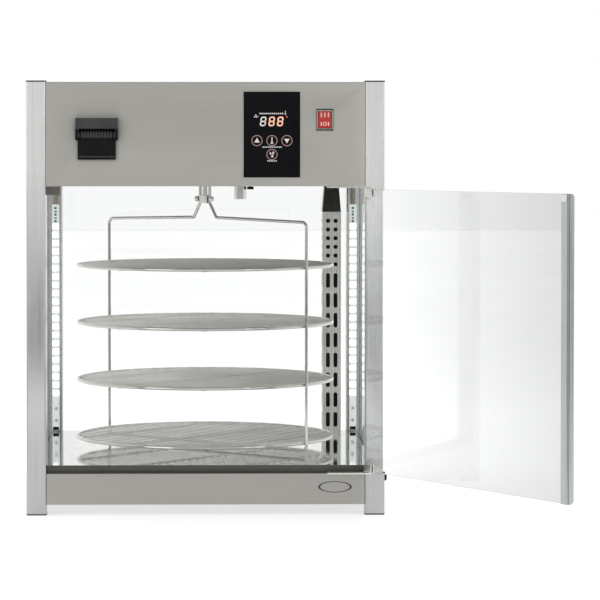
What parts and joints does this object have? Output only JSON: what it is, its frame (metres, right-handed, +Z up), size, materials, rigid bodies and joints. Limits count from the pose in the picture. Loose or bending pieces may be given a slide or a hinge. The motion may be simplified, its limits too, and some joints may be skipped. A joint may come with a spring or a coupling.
{
  "type": "heated display cabinet",
  "caption": "Countertop heated display cabinet with glass walls, an open swinging glass door, a rotating carousel of round wire racks, side light bars, a water filler and a control panel.",
  "frame": {"origin": "centre of the cabinet's footprint, on the surface it stands on", "axes": "+Z up, the front with the door and the control panel faces -Y, +X to the right seen from the front"},
  "size_m": [0.7726, 0.9768, 0.655],
  "materials": {
    "satin_aluminium": "satin anodised extrusion with fine lengthwise streaks",
    "painted_panel": "grey powder coat, low sheen",
    "black_plastic": "fine moulded grain",
    "zinc_sheet": "plain galvanised sheet",
    "polished_floor": "polished almost to a mirror",
    "cabinet_glass": "clear toughened glass with ground edges",
    "bright_steel": "bright stainless sheet",
    "black_steel": "black oxide",
    "chromed_wire": "chromed wire, slightly worn",
    "dark_hood": "heat-darkened steel",
    "bearing_brass": "turned",
    "motor_grey": "grey enamel",
    "led_board": "white solder mask with lit chips",
    "key_face": "smooth film with a pale printed ring",
    "circuit_board": "green solder mask",
    "rocker_red": "lit red polycarbonate",
    "tank_plastic": "milky polypropylene",
    "boiler_steel": "spun stainless can"
  },
  "bodies": {
    "cabinet": {"post_front_left": "satin_aluminium", "post_front_right": "satin_aluminium", "post_rear_left": "satin_aluminium", "post_rear_right": "satin_aluminium", "head_front_panel": "painted_panel", "head_rear_panel": "painted_panel", "head_side_panels": "painted_panel", "head_top_cover": "painted_panel", "base_front_panel": "painted_panel", "base_rear_panel": "painted_panel", "base_side_panels": "painted_panel", "post_caps": "black_plastic", "foot_pads": "black_plastic", "control_overlay": "black_plastic", "switch_body": "black_plastic", "filler_housing": "black_plastic", "temperature_probe": "black_plastic", "magnet_catch": "black_plastic", "fan_frame": "black_plastic", "power_inlet": "black_plastic", "head_floor": "zinc_sheet", "base_tray": "zinc_sheet", "floor_plate": "polished_floor", "glass_left": "cabinet_glass", "glass_right": "cabinet_glass", "glass_rear": "cabinet_glass", "hinge_plates": "bright_steel", "flap_pin": "bright_steel", "duct_column": "bright_steel", "motor_screws": "bright_steel", "steam_outlet": "bright_steel", "heater_element": "bright_steel", "hinge_bolt": "black_steel", "duct_hood": "dark_hood", "floor_bush": "bearing_brass", "gearmotor": "motor_grey", "led_bar_left": "led_board", "led_bar_right": "led_board", "control_board": "circuit_board", "water_tank": "tank_plastic", "steam_boiler": "boiler_steel"},
    "door": {"door_glass": "cabinet_glass", "door_handle": "satin_aluminium", "door_pivots": "bright_steel", "door_strike": "bright_steel"},
    "carousel": {"drive_shaft": "chromed_wire", "shaft_hub": "chromed_wire", "rack_frame": "chromed_wire", "rack_1": "chromed_wire", "rack_2": "chromed_wire", "rack_3": "chromed_wire", "rack_4": "chromed_wire"},
    "thumb_screw": {"thumb_screw": "chromed_wire"},
    "filler_flap": {"filler_flap": "black_plastic"},
    "power_rocker": {"switch_rocker": "rocker_red"},
    "key_up": {"key_up": "key_face"},
    "key_heat": {"key_heat": "key_face"},
    "key_down": {"key_down": "key_face"},
    "key_humidity": {"key_humidity": "key_face"},
    "fan_impeller": {"fan_impeller": "black_plastic"}
  },
  "joints": [
    {"name": "door_swing", "type": "hinge", "parent": "cabinet", "child": "door", "pos_m": [0.244, -0.2865, 0.28], "axis": [0, 0, 1], "range_deg": [-122, 48]},
    {"name": "carousel_spin", "type": "hinge", "parent": "cabinet", "child": "carousel", "pos_m": [0, 0, 0.3], "axis": [0, 0, 1], "continuous": true},
    {"name": "thumb_screw_turn", "type": "hinge", "parent": "carousel", "child": "thumb_screw", "pos_m": [0, 0, 0.472], "axis": [-0.7547, 0.6561, 0], "continuous": true},
    {"name": "filler_flap_lift", "type": "hinge", "parent": "cabinet", "child": "filler_flap", "pos_m": [-0.1635, -0.2855, 0.574], "axis": [-1, 0, 0], "range_deg": [0, 95]},
    {"name": "power_rocker_tilt", "type": "hinge", "parent": "cabinet", "child": "power_rocker", "pos_m": [0.1793, -0.2755, 0.596], "axis": [1, 0, 0], "range_deg": [0, 16]},
    {"name": "fan_spin", "type": "hinge", "parent": "cabinet", "child": "fan_impeller", "pos_m": [0.2135, 0.235, 0.51], "axis": [0, 0, 1], "continuous": true},
    {"name": "key_up_press", "type": "slide", "parent": "cabinet", "child": "key_up", "axis": [0, 1, 0], "range_m": [0, 0.0005], "stiffness_N_per_m": 400},
    {"name": "key_heat_press", "type": "slide", "parent": "cabinet", "child": "key_heat", "axis": [0, 1, 0], "range_m": [0, 0.0005], "stiffness_N_per_m": 400},
    {"name": "key_down_press", "type": "slide", "parent": "cabinet", "child": "key_down", "axis": [0, 1, 0], "range_m": [0, 0.0005], "stiffness_N_per_m": 400},
    {"name": "key_humidity_press", "type": "slide", "parent": "cabinet", "child": "key_humidity", "axis": [0, 1, 0], "range_m": [0, 0.0005], "stiffness_N_per_m": 400}
  ]
}
